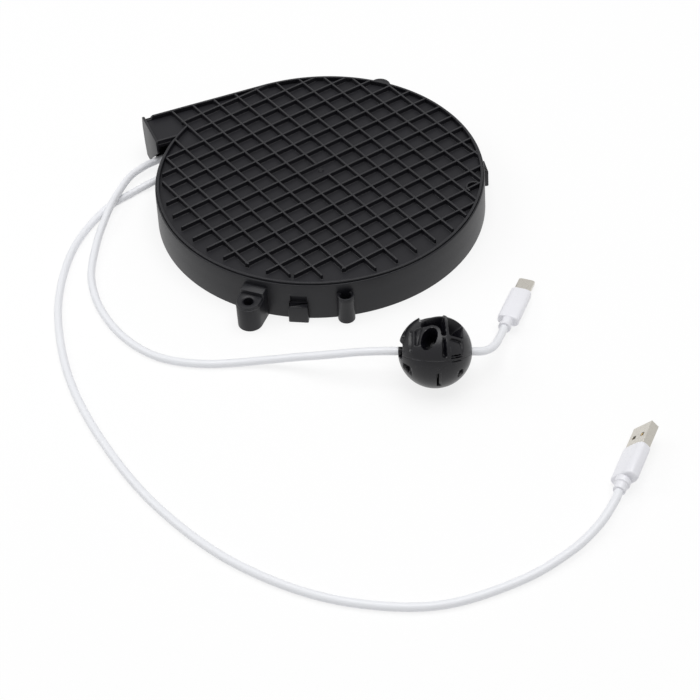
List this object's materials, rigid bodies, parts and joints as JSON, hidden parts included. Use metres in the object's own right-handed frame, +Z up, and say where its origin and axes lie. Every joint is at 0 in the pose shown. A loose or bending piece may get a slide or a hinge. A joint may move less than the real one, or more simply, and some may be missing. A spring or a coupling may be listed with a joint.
{
  "type": "retractable charging cable",
  "caption": "Round drum housing with a ribbed face, holding a sprung drum of charging cable with a ball stop and an oval plug, and a fixed lead that ends in a flat plug.",
  "frame": {"origin": "centre of the drum axis on the underside of the base cover, which is the surface the housing stands on", "axes": "+Z up along the drum axis, the straight side wall runs along X on the +Y side, and the cable mouth faces -X"},
  "size_m": [0.2516, 0.3583, 0.0351],
  "materials": {
    "housing_plastic": "matt moulded",
    "inner_plastic": "matt moulded",
    "drum_plastic": "matt moulded",
    "ball_plastic": "satin moulded",
    "steel": "zinc plated",
    "spring_steel": "blued strip",
    "nickel": "nickel plated",
    "contact_gold": "gold plated",
    "washer_plastic": "waxy",
    "board": "coated laminate",
    "cable_white": "smooth satin",
    "plug_white": "smooth moulded",
    "tongue_white": "smooth moulded",
    "core_black": "matt moulded",
    "wire_red": "smooth"
  },
  "bodies": {
    "housing": {"housing_shell": "housing_plastic", "base_cover": "inner_plastic", "cover_screws": "steel", "spindle": "steel", "thrust_washer": "washer_plastic", "retaining_clip": "spring_steel", "mainspring": "spring_steel", "brush_block": "inner_plastic", "contact_brushes": "contact_gold", "lead_wires": "wire_red", "lead_clamp": "inner_plastic", "clamp_screw": "steel", "retractable_cable": "cable_white", "ball_upper_half": "ball_plastic", "ball_lower_half": "ball_plastic", "stop_sleeve": "steel", "oval_plug_body": "plug_white", "oval_plug_shell": "nickel", "oval_plug_core": "core_black", "fixed_lead": "cable_white", "flat_plug_body": "plug_white", "flat_plug_shell": "nickel", "flat_plug_tongue": "tongue_white", "flat_plug_contacts": "contact_gold"},
    "drum": {"cable_drum": "drum_plastic", "drum_cover": "drum_plastic", "drum_screws": "steel", "contact_board": "board", "contact_rings": "contact_gold", "wound_cable": "cable_white"}
  },
  "joints": [
    {"name": "drum_spin", "type": "hinge", "parent": "housing", "child": "drum", "pos_m": [0, 0, 0.01], "axis": [0, 0, 1], "range_deg": [-720, 720]}
  ]
}
